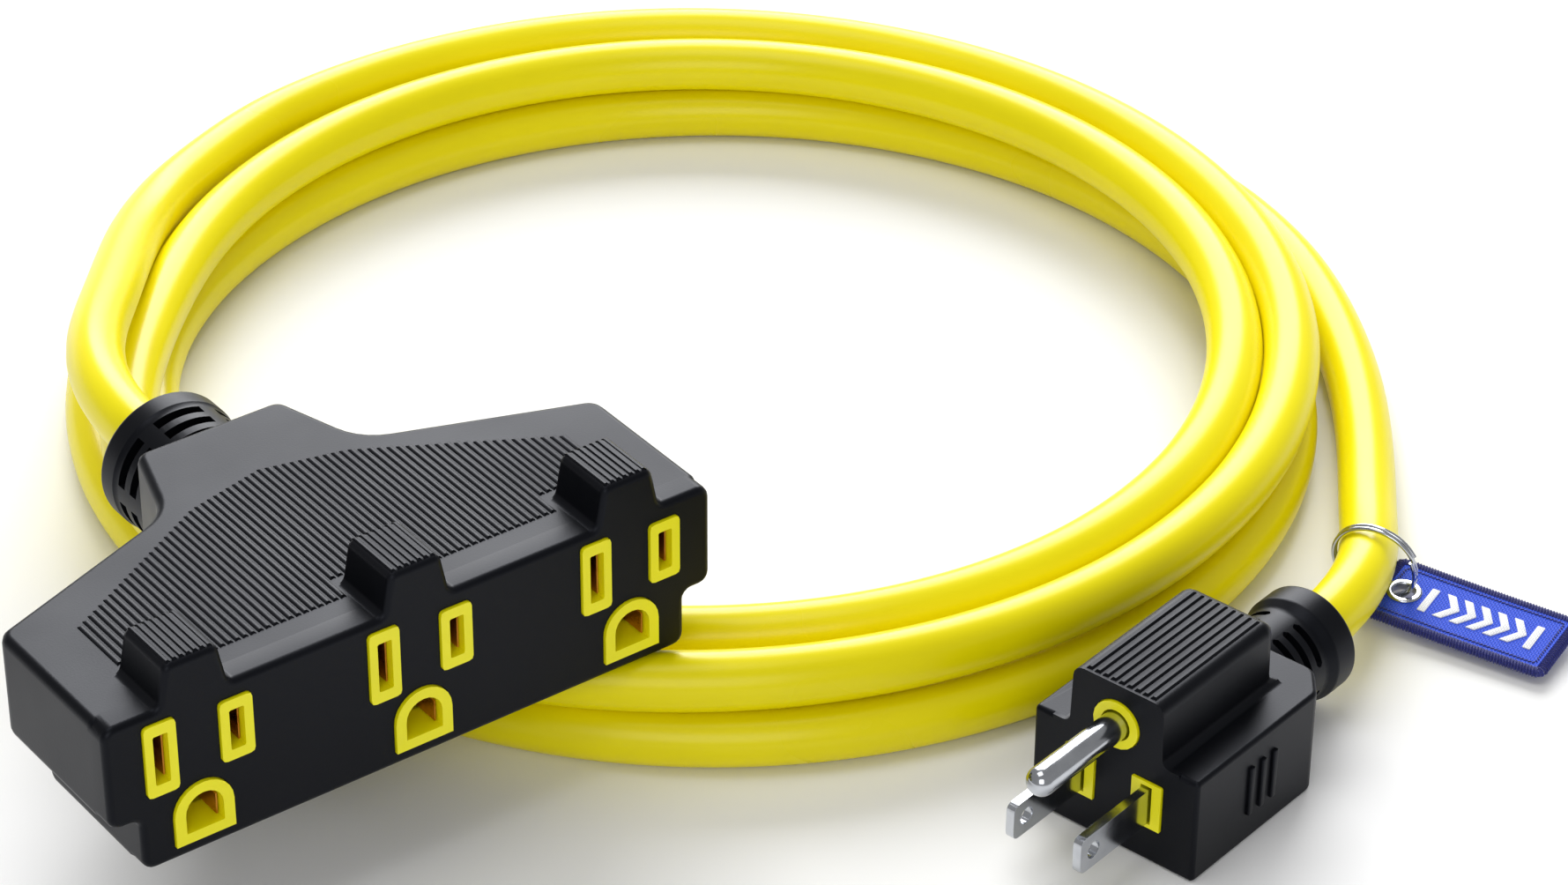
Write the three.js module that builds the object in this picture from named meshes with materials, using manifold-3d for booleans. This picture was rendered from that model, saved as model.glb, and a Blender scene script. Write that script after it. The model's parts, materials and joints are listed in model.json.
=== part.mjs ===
// Three-outlet extension cord, lying coiled on a surface. Millimetres, +Z up, Z = 0 is the surface.
// The outlet block faces -Y and lies on the coil. The plug lies on the surface at the front right.
import * as THREE from 'three';
import { mergeVertices } from 'three/addons/utils/BufferGeometryUtils.js';
import Module from 'manifold-3d';

const wasm = await Module();
wasm.setup();

// ---- driving dimensions -------------------------------------------------
const GAP = 0.3;                 // clearance between pieces that touch
const CORD_D = 9.8;              // jacket of a three-core 14 gauge cord
const CORE_D = 2.8;              // one insulated conductor
const BLADE_PITCH = 12.7;        // standard centre distance of the two flat blades
const GROUND_DROP = 11.9;        // standard distance from blade line to ground pin
const BLADE = { width: 6.35, thick: 1.5, length: 17.5, hole: 1.5, holeIn: 3.2 };
const PIN = { dia: 4.8, length: 21 };

const COIL = { x: 23.1, y: 23.1, inner: 86, outer: 110.8, corner: 4.6 };
const COIL_TOP = 2 * CORD_D;

const TAP = {
  x: -85.6, y: -59.9,            // middle outlet, on the outlet face
  pitch: 38.2,                   // distance between outlets
  top: 8.2, step: -9.9, bottom: -19.5,   // heights from the slot line
  halfWidth: 53.5, lowerHalfWidth: 48.5,
  sideDepth: 30.5, taperX: 18, taperY: 43.5, neckX: 13, neckY: 60,
  corner: 3, axisZ: -5.6,
};
const BUMP = { base: 11.8, crown: 9.0, height: 7.3, depth: 12 };
const RELIEF = { radius: 11.6, length: 15, bore: 5.4 };

const PLUG = {
  x: 0.9, y: -119.0, turn: THREE.MathUtils.degToRad(-77.3),
  bottom: -10.9, shoulder: 8, top: 19.4,
  lowerHalf: 15.6, upperHalf: 8.6, lowerDepth: 36, upperDepth: 29.5, shoulderIn: 4, shoulderDepth: 5,
};
const PLUG_RELIEF = { radius: 9.2, start: 36.3, length: 15.7, bore: 4.9 };

const RING = { mid: 7.3, wire: 0.55, at: 0.21, offset: 1.5, tilt: 0.45 };
const TAG = { length: 33, width: 16.5, thick: 1.2, border: 1.6, eyeletIn: 4.5, hole: 1.9 };

// ---- materials ----------------------------------------------------------
const finish = (color, roughness, metalness = 0) =>
  new THREE.MeshStandardMaterial({ color, roughness, metalness });
const blackPvc = () => finish(0x17181b, 0.45);
const yellowPvc = () => finish(0xf2de00, 0.3);
const yellowNylon = () => finish(0xfff000, 0.45);
const brass = () => finish(0xc48a4a, 0.35, 1);
const nickel = () => finish(0xc9ccd2, 0.22, 1);

// ---- solid helpers ------------------------------------------------------
function toSolid(geometry) {
  const bare = geometry.clone();
  bare.deleteAttribute('normal');
  bare.deleteAttribute('uv');
  const merged = mergeVertices(bare, 1e-4);
  return new wasm.Manifold(new wasm.Mesh({
    numProp: 3,
    vertProperties: new Float32Array(merged.attributes.position.array),
    triVerts: new Uint32Array(merged.index.array),
  }));
}

function toGeometry(solid) {
  const mesh = solid.getMesh();
  const geometry = new THREE.BufferGeometry();
  geometry.setAttribute('position', new THREE.BufferAttribute(new Float32Array(mesh.vertProperties), 3));
  geometry.setIndex(new THREE.BufferAttribute(new Uint32Array(mesh.triVerts), 1));
  geometry.computeVertexNormals();
  return geometry;
}

const union = (first, ...rest) => rest.reduce((sum, next) => sum.add(next), first);
const cut = (body, ...tools) => tools.reduce((left, tool) => left.subtract(tool), body);

function box(x0, x1, y0, y1, z0, z1) {
  const geometry = new THREE.BoxGeometry(x1 - x0, y1 - y0, z1 - z0);
  geometry.translate((x0 + x1) / 2, (y0 + y1) / 2, (z0 + z1) / 2);
  return toSolid(geometry);
}

// A cylinder along Y from y0 to y1.
function rod(radius, x, z, y0, y1, sides = 24) {
  const geometry = new THREE.CylinderGeometry(radius, radius, y1 - y0, sides);
  geometry.translate(x, (y0 + y1) / 2, z);
  return toSolid(geometry);
}

// A plan outline in XY, raised from z0 to z1.
function plate(shape, z0, z1, curveSegments = 4) {
  const geometry = new THREE.ExtrudeGeometry(shape, { depth: z1 - z0, bevelEnabled: false, curveSegments });
  geometry.translate(0, 0, z0);
  return toSolid(geometry);
}

// A front outline in XZ, carried from y0 back to y1.
function profile(shape, y0, y1, curveSegments = 4) {
  const geometry = new THREE.ExtrudeGeometry(shape, { depth: y1 - y0, bevelEnabled: false, curveSegments });
  geometry.rotateX(Math.PI / 2);
  geometry.translate(0, y1, 0);
  return toSolid(geometry);
}

// A closed outline through the given corners, each rounded by its own radius.
function roundedShape(corners) {
  const shape = new THREE.Shape();
  const count = corners.length;
  corners.forEach(([x, y, radius], i) => {
    const here = new THREE.Vector2(x, y);
    const before = new THREE.Vector2(...corners[(i + count - 1) % count]);
    const after = new THREE.Vector2(...corners[(i + 1) % count]);
    const from = here.clone().add(before.sub(here).setLength(radius));
    const to = here.clone().add(after.sub(here).setLength(radius));
    if (i === 0) shape.moveTo(from.x, from.y);
    else shape.lineTo(from.x, from.y);
    shape.quadraticCurveTo(x, y, to.x, to.y);
  });
  shape.closePath();
  return shape;
}

function rectangle(x0, x1, y0, y1, radius) {
  return roundedShape([[x0, y0, radius], [x1, y0, radius], [x1, y1, radius], [x0, y1, radius]]);
}

function circle(radius, sides = 12) {
  const shape = new THREE.Shape();
  for (let i = 0; i < sides; i += 1) {
    const angle = (i / sides) * 2 * Math.PI;
    const x = radius * Math.cos(angle);
    const y = radius * Math.sin(angle);
    if (i === 0) shape.moveTo(x, y);
    else shape.lineTo(x, y);
  }
  shape.closePath();
  return shape;
}

// A round tube along a smooth curve through the points.
function tube(points, diameter, steps, sides = 10) {
  const path = new THREE.CatmullRomCurve3(points.map((p) => new THREE.Vector3(...p)));
  return new THREE.ExtrudeGeometry(circle(diameter / 2, sides), { steps, extrudePath: path, bevelEnabled: false });
}

function piece(parent, name, shape, material) {
  const geometry = shape.isBufferGeometry ? shape : toGeometry(shape);
  const mesh = new THREE.Mesh(geometry, material);
  mesh.name = name;
  parent.add(mesh);
  return mesh;
}

const assembly = new THREE.Group();

// ---- outlet block -------------------------------------------------------
const tap = new THREE.Group();
tap.position.set(TAP.x, TAP.y, COIL_TOP + GAP - TAP.bottom);
assembly.add(tap);

const OUTLETS = [-TAP.pitch, 0, TAP.pitch];
const SLOT = {
  neutral: { x: -BLADE_PITCH / 2, width: 2.5, height: 8.7, frameWidth: 5.3, frameHeight: 12.6 },
  hot: { x: BLADE_PITCH / 2, width: 2.5, height: 7.1, frameWidth: 5.5, frameHeight: 10.7 },
};
const GROUND = { flat: -17, crown: -7, half: 5, wall: 1.8 };
const GROUND_MID = -12.2;
const FRAME_PROUD = 0.5;
const CARRIER = {
  front: 2.6, back: 21, split: 5.6,
  halfWidth: 48, top: 6.4, step: -8.4,       // upper part, behind the flat slots
  lowerHalf: 44.5, bottom: -18.2,            // lower part, behind the ground slots
  stripRoom: 2.6, coreRoom: 10, coreHalf: 12, // cavities behind it, for the strips and the cores
};

function tapOutline(half, lift = 0) {
  const c = TAP.corner;
  return roundedShape([
    [-half, 0, c], [half, 0, c], [half, TAP.sideDepth - lift, c], [TAP.taperX, TAP.taperY - lift, 6],
    [TAP.neckX, TAP.neckY, c], [-TAP.neckX, TAP.neckY, c], [-TAP.taperX, TAP.taperY - lift, 6],
    [-half, TAP.sideDepth - lift, c],
  ]);
}

// The rounded-top ground opening: flat at the bottom, half round above.
function groundShape(cx, inset) {
  const half = GROUND.half - inset;
  const flat = GROUND.flat + inset;
  const shape = new THREE.Shape();
  shape.moveTo(cx - half, flat);
  shape.lineTo(cx + half, flat);
  shape.lineTo(cx + half, GROUND.crown - GROUND.half);
  shape.absarc(cx, GROUND.crown - GROUND.half, half, 0, Math.PI, false);
  shape.closePath();
  return shape;
}

function slotFrame(cx, kind, grow = 0) {
  const s = SLOT[kind];
  const w = s.frameWidth / 2 + grow;
  const h = s.frameHeight / 2 + grow;
  return rectangle(cx + s.x - w, cx + s.x + w, -h, h, 0.8);
}

function slotHole(cx, kind) {
  const s = SLOT[kind];
  return rectangle(cx + s.x - s.width / 2, cx + s.x + s.width / 2, -s.height / 2, s.height / 2, 0.2);
}

function bump(cx) {
  const shape = roundedShape([
    [cx - BUMP.base / 2, TAP.top - 1, 0.2], [cx + BUMP.base / 2, TAP.top - 1, 0.2],
    [cx + BUMP.crown / 2, TAP.top + BUMP.height, 1.6], [cx - BUMP.crown / 2, TAP.top + BUMP.height, 1.6],
  ]);
  return profile(shape, 0.2, BUMP.depth, 3);
}

// The stepped block that the carrier fills, grown by a clearance.
function carrierBlock(y0, y1, grow = 0) {
  const c = CARRIER;
  return union(
    box(-c.halfWidth - grow, c.halfWidth + grow, y0, y1, c.step - grow, c.top + grow),
    box(-c.lowerHalf - grow, c.lowerHalf + grow, y0, y1, c.bottom - grow, c.top + grow),
  );
}

function tapOvermould() {
  let body = plate(tapOutline(TAP.halfWidth), TAP.step, TAP.top);
  body = body.add(plate(tapOutline(TAP.lowerHalfWidth, 2), TAP.bottom, TAP.step + 0.5));
  OUTLETS.forEach((cx) => {
    body = body.add(bump(cx));
  });
  const c = CARRIER;
  body = cut(
    body,
    carrierBlock(c.front - GAP, c.back + c.stripRoom, GAP),
    box(-c.coreHalf, c.coreHalf, c.back, c.back + c.coreRoom, GROUND_MID - 3, c.top),
    rod(RELIEF.bore, 0, TAP.axisZ, c.back, TAP.neckY + 1, 16),
  );
  OUTLETS.forEach((cx) => {
    body = cut(
      body,
      profile(slotFrame(cx, 'neutral', GAP), -1, c.front, 2),
      profile(slotFrame(cx, 'hot', GAP), -1, c.front, 2),
      profile(groundShape(cx, -GAP), -1, c.front, 6),
    );
  });
  return body;
}

// Yellow front of the carrier: a plate behind the face, with the slot frames standing through it.
function socketFront() {
  const c = CARRIER;
  let body = carrierBlock(c.front, c.split);
  OUTLETS.forEach((cx) => {
    body = union(
      body,
      profile(slotFrame(cx, 'neutral'), -FRAME_PROUD, c.front + 0.5, 2),
      profile(slotFrame(cx, 'hot'), -FRAME_PROUD, c.front + 0.5, 2),
      profile(groundShape(cx, 0), -FRAME_PROUD, c.front + 0.5, 6),
    );
    body = cut(
      body,
      profile(slotHole(cx, 'neutral'), -2, c.split + 1, 1),
      profile(slotHole(cx, 'hot'), -2, c.split + 1, 1),
      profile(groundShape(cx, GROUND.wall), -2, c.split + 1, 5),
    );
  });
  return body;
}

// The contacts are deep enough for a whole blade and a whole ground pin.
const CONTACT = { leaf: 0.25, front: 0.9, back: 21.2, halfGap: 0.8, play: 0.35 };

// Yellow back of the carrier: a tray of open pockets, one for each contact.
function socketBack() {
  const c = CARRIER;
  const front = c.split + GAP;
  let body = carrierBlock(front, c.back);
  OUTLETS.forEach((cx) => {
    Object.values(SLOT).forEach((slot) => {
      const x = cx + slot.x;
      body = body.subtract(box(x - 2.6, x + 2.6, front - 1, c.back + 1, -4.9, 5.2));
    });
    body = body.subtract(box(cx - 4, cx + 4, front - 1, c.back + 1, GROUND_MID - 4.2, GROUND_MID + 4.2));
  });
  return body;
}

// A contact is two thin leaves joined by a back. They line the slot from just behind the face.
function leaves(x, inner, z0, z1) {
  const outer = inner + CONTACT.leaf;
  return cut(
    box(x - outer, x + outer, CONTACT.front, CONTACT.back, z0, z1),
    box(x - inner, x + inner, 0, CONTACT.back - CONTACT.leaf * 2, z0 - 1, z1 + 1),
  );
}

function bladeContact(cx, kind) {
  const half = SLOT[kind].height / 2 - CONTACT.play;
  return leaves(cx + SLOT[kind].x, CONTACT.halfGap, -half, half);
}

function groundContact(cx) {
  const low = GROUND.flat + GROUND.wall + GAP;
  return leaves(cx, PIN.dia / 2 + 0.2, low, low + 3.7);
}

piece(tap, 'tap_overmould', tapOvermould(), blackPvc());
piece(tap, 'tap_socket_front', socketFront(), yellowNylon());
piece(tap, 'tap_socket_back', socketBack(), yellowNylon());
OUTLETS.forEach((cx, i) => {
  piece(tap, `neutral_contact_${i + 1}`, bladeContact(cx, 'neutral'), brass());
  piece(tap, `hot_contact_${i + 1}`, bladeContact(cx, 'hot'), brass());
  piece(tap, `ground_contact_${i + 1}`, groundContact(cx), brass());
});

// Strips that join the contacts behind the tray, stacked in height so that they stay apart.
const STRIP = { y0: CONTACT.back + GAP, thick: 0.8 };
function strip(x0, x1, z0, z1) {
  return box(x0, x1, STRIP.y0, STRIP.y0 + STRIP.thick, z0, z1);
}
const P = TAP.pitch;
const halfPitch = BLADE_PITCH / 2;
piece(tap, 'neutral_strip', strip(-P - halfPitch - 1.4, P - halfPitch + 1.4, 0.6, 4.2), brass());
piece(tap, 'hot_strip', strip(-P + halfPitch - 1.4, P + halfPitch + 1.4, -4.2, -0.6), brass());
piece(tap, 'ground_strip', strip(-P - 2.4, P + 2.4, GROUND_MID - 2, GROUND_MID + 2), brass());

// Three cores from the strips through the neck to the end of the strain relief.
const CORES = [
  { name: 'black', color: 0x1b1b1d, angle: 210, plugAngle: 330, strip: -2.4, x: -2.2 },
  { name: 'white', color: 0xe9e7df, angle: 90, plugAngle: 210, strip: 2.4, x: 0.8 },
  { name: 'green', color: 0x1f8a3b, angle: 330, plugAngle: 90, strip: GROUND_MID, x: 1.8 },
];
const CORE_RADIUS = 1.9;
const coreSpot = (angle, radius = CORE_RADIUS) => {
  const a = THREE.MathUtils.degToRad(angle);
  return [radius * Math.cos(a), radius * Math.sin(a)];
};
const tapReliefEnd = TAP.neckY + GAP + RELIEF.length;
CORES.forEach((core) => {
  const [dx, dz] = coreSpot(core.angle);
  const start = STRIP.y0 + STRIP.thick + GAP + 0.1;
  const route = [
    [core.x, start, core.strip],
    [core.x, start + 0.7, core.strip],
    [dx, CARRIER.back + 8.2, TAP.axisZ + dz],
    [dx, CARRIER.back + 14, TAP.axisZ + dz],
    [dx, tapReliefEnd - GAP, TAP.axisZ + dz],
  ];
  piece(tap, `tap_core_${core.name}`, tube(route, CORE_D, 14, 8), finish(core.color, 0.5));
});

// The strain relief is a ribbed sleeve on the neck: three rows of windows around it.
function ribbedSleeve(y0, y1, radius, bore, rows, bars, z = 0) {
  let body = rod(radius, 0, z, y0, y1, 32);
  const rowPitch = (y1 - y0 - 2) / rows;
  const windowDepth = 1.6;
  for (let row = 0; row < rows; row += 1) {
    const a = y0 + 0.4 + row * rowPitch;
    let band = rod(radius + 1, 0, z, a, a + rowPitch * 0.5, 32);
    band = band.subtract(rod(radius - windowDepth, 0, z, a - 1, a + rowPitch, 32));
    for (let bar = 0; bar < bars / 2; bar += 1) {
      const rib = new THREE.BoxGeometry(2 * radius + 4, rowPitch, 2.4);
      rib.rotateY((bar / bars) * 2 * Math.PI + Math.PI / bars * (row % 2));
      rib.translate(0, a + rowPitch * 0.25, z);
      band = band.subtract(toSolid(rib));
    }
    body = body.subtract(band);
  }
  return body.subtract(rod(bore, 0, z, y0 - 1, y1 + 1, 16));
}
piece(
  tap, 'tap_strain_relief',
  ribbedSleeve(TAP.neckY + GAP, tapReliefEnd, RELIEF.radius, RELIEF.bore, 3, 6, TAP.axisZ),
  blackPvc(),
);

// ---- plug ---------------------------------------------------------------
const plug = new THREE.Group();
plug.position.set(PLUG.x, PLUG.y, -PLUG.bottom);
plug.rotation.z = PLUG.turn;
assembly.add(plug);

const BRIDGE = { front: 1.2, back: 12, half: 11, low: -4.4, high: 5.6, upHalf: 4.6, upHigh: 15.4 };
const PIN_RING = 4.2;
const PIN_TAIL = 1.2;              // the blades and the pin stand out behind the bridge
const BLADE_FRAME = { halfWidth: 2.8, halfHeight: 4.2, proud: 0.4 };

function plugOvermould() {
  const q = PLUG;
  const b = BRIDGE;
  const lower = roundedShape([
    [-q.lowerHalf, 0, 1.5], [q.lowerHalf, 0, 1.5], [q.lowerHalf, q.lowerDepth - q.shoulderDepth, 3],
    [q.lowerHalf - q.shoulderIn, q.lowerDepth, 3], [-q.lowerHalf + q.shoulderIn, q.lowerDepth, 3],
    [-q.lowerHalf, q.lowerDepth - q.shoulderDepth, 3],
  ]);
  const upper = roundedShape([
    [-q.upperHalf, 0, 1], [q.upperHalf, 0, 1], [q.upperHalf, q.upperDepth, 4], [-q.upperHalf, q.upperDepth, 4],
  ]);
  let body = plate(lower, q.bottom, q.shoulder);
  body = body.add(plate(upper, q.shoulder - 1, q.top));
  body = cut(
    body,
    box(-b.half - GAP, b.half + GAP, b.front - GAP, b.back + 8, b.low - GAP, b.high + GAP),
    box(-b.upHalf - GAP, b.upHalf + GAP, b.front - GAP, b.back + 8, 0, b.upHigh + GAP),
    rod(4.9, 0, 0, b.back, q.lowerDepth + 1, 16),
    rod(PIN_RING + GAP, 0, GROUND_DROP, -1, b.front + 1, 20),
  );
  [-1, 1].forEach((side) => {
    const x = (side * BLADE_PITCH) / 2;
    const w = BLADE_FRAME.halfWidth + GAP;
    const h = BLADE_FRAME.halfHeight + GAP;
    body = body.subtract(box(x - w, x + w, -1, b.front, -h, h));
  });
  return body;
}

// Yellow bridge that holds both blades and the ground pin, with frames flush through the face.
function pinBridge() {
  const b = BRIDGE;
  let body = union(
    box(-b.half, b.half, b.front, b.back, b.low, b.high),
    box(-b.upHalf, b.upHalf, b.front, b.back, 0, b.upHigh),
    rod(PIN_RING, 0, GROUND_DROP, -BLADE_FRAME.proud, b.front + 0.5, 20),
  );
  [-1, 1].forEach((side) => {
    const x = (side * BLADE_PITCH) / 2;
    const f = BLADE_FRAME;
    body = body.add(box(x - f.halfWidth, x + f.halfWidth, -f.proud, b.front + 0.5, -f.halfHeight, f.halfHeight));
    const t = BLADE.thick / 2 + GAP;
    const w = BLADE.width / 2 + GAP;
    body = body.subtract(box(x - t, x + t, -2, b.back + 1, -w, w));
  });
  return body.subtract(rod(PIN.dia / 2 + GAP, 0, GROUND_DROP, -2, b.back + 1, 20));
}

function blade(x) {
  const half = BLADE.width / 2;
  const tip = -BLADE.length;
  const side = roundedShape([
    [tip, -half, 1.4], [tip, half, 1.4], [BRIDGE.back + PIN_TAIL, half, 0.2], [BRIDGE.back + PIN_TAIL, -half, 0.2],
  ]);
  const geometry = new THREE.ExtrudeGeometry(side, { depth: BLADE.thick, bevelEnabled: false, curveSegments: 4 });
  // The outline was drawn with the blade's length along its first axis.
  geometry.rotateX(Math.PI / 2);
  geometry.rotateZ(Math.PI / 2);
  geometry.computeBoundingBox();
  const middle = geometry.boundingBox.getCenter(new THREE.Vector3());
  geometry.translate(x - middle.x, 0, 0);
  const hole = new THREE.CylinderGeometry(BLADE.hole, BLADE.hole, 2 * BLADE.width, 16);
  hole.rotateZ(Math.PI / 2);
  hole.translate(x, tip + BLADE.holeIn, 0);
  return toSolid(geometry).subtract(toSolid(hole));
}

function groundPin() {
  const radius = PIN.dia / 2;
  const points = [new THREE.Vector2(0, BRIDGE.back + PIN_TAIL), new THREE.Vector2(radius, BRIDGE.back + PIN_TAIL)];
  for (let i = 0; i <= 5; i += 1) {
    const angle = (i / 5) * (Math.PI / 2);
    const along = -PIN.length + radius - radius * Math.sin(angle);
    points.push(new THREE.Vector2(i === 5 ? 0 : radius * Math.cos(angle), along));
  }
  const geometry = new THREE.LatheGeometry(points.reverse(), 20);
  geometry.translate(0, 0, GROUND_DROP);
  return toSolid(geometry);
}

piece(plug, 'plug_overmould', plugOvermould(), blackPvc());
piece(plug, 'plug_pin_bridge', pinBridge(), yellowNylon());
piece(plug, 'neutral_blade', blade(-halfPitch), nickel());
piece(plug, 'hot_blade', blade(halfPitch), nickel());
piece(plug, 'ground_pin', groundPin(), nickel());
const plugReliefEnd = PLUG_RELIEF.start + PLUG_RELIEF.length;
piece(
  plug, 'plug_strain_relief',
  ribbedSleeve(PLUG_RELIEF.start, plugReliefEnd, PLUG_RELIEF.radius, PLUG_RELIEF.bore, 3, 4),
  blackPvc(),
);
const PLUG_CORE_ENDS = { black: [halfPitch, 0], white: [-halfPitch, 0], green: [0, GROUND_DROP] };
CORES.forEach((core) => {
  const [dx, dz] = coreSpot(core.plugAngle);
  const [ex, ez] = PLUG_CORE_ENDS[core.name];
  const start = BRIDGE.back + PIN_TAIL + 3 * GAP;
  const route = [
    [ex, start, ez],
    [ex, start + 1.2, ez],
    [dx, start + 5.4, dz],
    [dx, start + 10, dz],
    [dx, plugReliefEnd - GAP, dz],
  ];
  piece(plug, `plug_core_${core.name}`, tube(route, CORE_D, 14, 8), finish(core.color, 0.5));
});

// ---- cord ---------------------------------------------------------------
function coilRing() {
  const { inner, outer, corner } = COIL;
  const points = [];
  const arc = (r, z, from) => {
    for (let i = 0; i <= 3; i += 1) {
      const angle = THREE.MathUtils.degToRad(from + i * 30);
      points.push(new THREE.Vector2(r + corner * Math.cos(angle), z + corner * Math.sin(angle)));
    }
  };
  arc(inner + corner, corner, 180);
  arc(outer - corner, corner, 270);
  arc(outer - corner, COIL_TOP - corner, 0);
  arc(inner + corner, COIL_TOP - corner, 90);
  points.push(points[0].clone());
  const geometry = new THREE.LatheGeometry(points, 64);
  geometry.rotateX(Math.PI / 2);
  geometry.translate(COIL.x, COIL.y, 0);
  return toSolid(geometry);
}
piece(assembly, 'cord_coil', coilRing(), yellowPvc());

// Where the cord isn't coiled. Measured from the middle of the coil; x, y, z of the centre line.
const TAP_LEAD = [
  [-108.7, -7.3, 33.8],
  [-108.6, 0.5, 33.8],
  [-107.8, 8.5, 33.6],
  [-105.2, 18.5, 32.8],
  [-100.5, 28.8, 31.2],
  [-94.2, 38.8, 29.0],
  [-87.2, 48.0, 26.6],
  [-82.6, 53.9, 25.0],
];
const PLUG_LEAD = [
  [111.7, -33.1, 5.0],
  [108.4, -42.7, 5.0],
  [104.0, -52.8, 5.0],
  [98.2, -63.6, 5.0],
  [90.6, -75.4, 5.0],
  [81.4, -87.2, 5.2],
  [72.4, -97.4, 5.8],
  [65.2, -105.2, 6.7],
  [59.0, -112.2, 7.9],
  [52.8, -118.6, 9.3],
  [45.6, -123.9, 10.4],
  [37.6, -127.9, 10.9],
  [29.1, -130.5, 10.9],
];
const fromCoil = ([x, y, z]) => [x + COIL.x, y + COIL.y, z];
const tapLead = TAP_LEAD.map(fromCoil);
const plugLead = PLUG_LEAD.map(fromCoil);
piece(assembly, 'tap_lead', tube(tapLead, CORD_D, 6), yellowPvc());
piece(assembly, 'plug_lead', tube(plugLead, CORD_D, 14), yellowPvc());

// ---- split ring and tag on the plug's lead --------------------------------
const leadCurve = new THREE.CatmullRomCurve3(plugLead.map((p) => new THREE.Vector3(...p)));
const leadAt = 1 - RING.at;
const onLead = leadCurve.getPointAt(leadAt);
const along = leadCurve.getTangentAt(leadAt);
const side = new THREE.Vector3(-along.y, along.x, 0).normalize();
const toEyelet = side.clone().multiplyScalar(0.7).add(new THREE.Vector3(0, 0, -0.71));
toEyelet.addScaledVector(along, -toEyelet.dot(along)).normalize();
const across = new THREE.Vector3().crossVectors(along, toEyelet);
const ringSide = across.clone().multiplyScalar(Math.cos(RING.tilt)).addScaledVector(along, Math.sin(RING.tilt));
const ringAxis = new THREE.Vector3().crossVectors(toEyelet, ringSide).normalize();
const ringCentre = onLead.clone().addScaledVector(toEyelet, RING.offset);
const eyelet = ringCentre.clone().addScaledVector(toEyelet, RING.mid);

function ringPiece() {
  const geometry = new THREE.TorusGeometry(RING.mid, RING.wire, 8, 40);
  geometry.applyMatrix4(new THREE.Matrix4().makeBasis(toEyelet, ringSide, ringAxis));
  geometry.translate(ringCentre.x, ringCentre.y, ringCentre.z);
  return toSolid(geometry);
}
piece(assembly, 'split_ring', ringPiece(), nickel());

// The tag's own axes: its length runs away from the eyelet, slightly downhill.
const tag = new THREE.Group();
const tagYaw = THREE.MathUtils.degToRad(-68.3);
const tagPitch = THREE.MathUtils.degToRad(2.2);
const tagBank = THREE.MathUtils.degToRad(3);
tag.position.copy(eyelet);
tag.rotation.set(tagBank, tagPitch, tagYaw, 'ZYX');
assembly.add(tag);

function tagOutline(inset) {
  const x0 = -TAG.eyeletIn + inset;
  const half = TAG.width / 2 - inset;
  return rectangle(x0, TAG.length - TAG.eyeletIn - inset, -half, half, 1);
}
const t2 = TAG.thick / 2;
const hole = new THREE.CylinderGeometry(TAG.hole + 0.5 + GAP, TAG.hole + 0.5 + GAP, 6, 20);
hole.rotateX(Math.PI / 2);
const fabric = plate(tagOutline(TAG.border + GAP), -t2, t2, 2).subtract(toSolid(hole));
const border = plate(tagOutline(0), -t2, t2, 2).subtract(plate(tagOutline(TAG.border), -2, 2, 2));
piece(tag, 'tag_fabric', fabric, finish(0x1c45c8, 0.85));
piece(tag, 'tag_border', border, finish(0x141a6e, 0.9));
const eyeletProfile = [
  [TAG.hole, -t2 - 0.2], [TAG.hole + 0.5, -t2 - 0.2], [TAG.hole + 0.5, t2 + 0.2], [TAG.hole, t2 + 0.2],
];
eyeletProfile.push(eyeletProfile[0]);
const eyeletGeometry = new THREE.LatheGeometry(eyeletProfile.map((p) => new THREE.Vector2(...p)), 20);
eyeletGeometry.rotateX(Math.PI / 2);
piece(tag, 'tag_eyelet', toSolid(eyeletGeometry), nickel());

export default assembly;
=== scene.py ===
import json
import math

import bpy
from mathutils import Matrix, Vector


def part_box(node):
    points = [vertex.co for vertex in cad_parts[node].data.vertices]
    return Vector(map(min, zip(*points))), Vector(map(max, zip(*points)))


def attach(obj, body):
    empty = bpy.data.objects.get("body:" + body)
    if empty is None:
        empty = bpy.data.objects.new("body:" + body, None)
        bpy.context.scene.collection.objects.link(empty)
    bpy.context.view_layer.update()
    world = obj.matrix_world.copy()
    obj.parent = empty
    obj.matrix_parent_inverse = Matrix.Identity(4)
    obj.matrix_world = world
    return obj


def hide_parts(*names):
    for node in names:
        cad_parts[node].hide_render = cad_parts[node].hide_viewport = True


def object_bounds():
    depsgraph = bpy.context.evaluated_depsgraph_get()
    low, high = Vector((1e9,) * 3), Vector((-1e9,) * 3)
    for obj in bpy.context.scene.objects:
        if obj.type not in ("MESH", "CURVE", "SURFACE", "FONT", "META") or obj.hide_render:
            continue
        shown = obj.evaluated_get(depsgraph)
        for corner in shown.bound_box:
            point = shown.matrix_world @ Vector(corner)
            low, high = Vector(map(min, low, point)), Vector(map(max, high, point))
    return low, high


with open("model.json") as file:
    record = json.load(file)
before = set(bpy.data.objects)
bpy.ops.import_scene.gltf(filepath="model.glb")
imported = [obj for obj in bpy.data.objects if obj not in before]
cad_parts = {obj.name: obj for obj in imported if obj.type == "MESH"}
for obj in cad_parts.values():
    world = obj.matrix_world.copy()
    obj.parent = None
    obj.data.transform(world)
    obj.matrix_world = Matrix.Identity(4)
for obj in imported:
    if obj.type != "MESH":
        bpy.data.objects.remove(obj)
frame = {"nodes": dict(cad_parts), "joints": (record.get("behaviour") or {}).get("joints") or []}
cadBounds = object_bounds()
mm = 0.001
print("frame loaded")


# Helpers for meshes

def deselectAll():
    if bpy.context.object and bpy.context.object.mode != "OBJECT":
        bpy.ops.object.mode_set(mode="OBJECT")
    bpy.ops.object.select_all(action="DESELECT")


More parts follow.
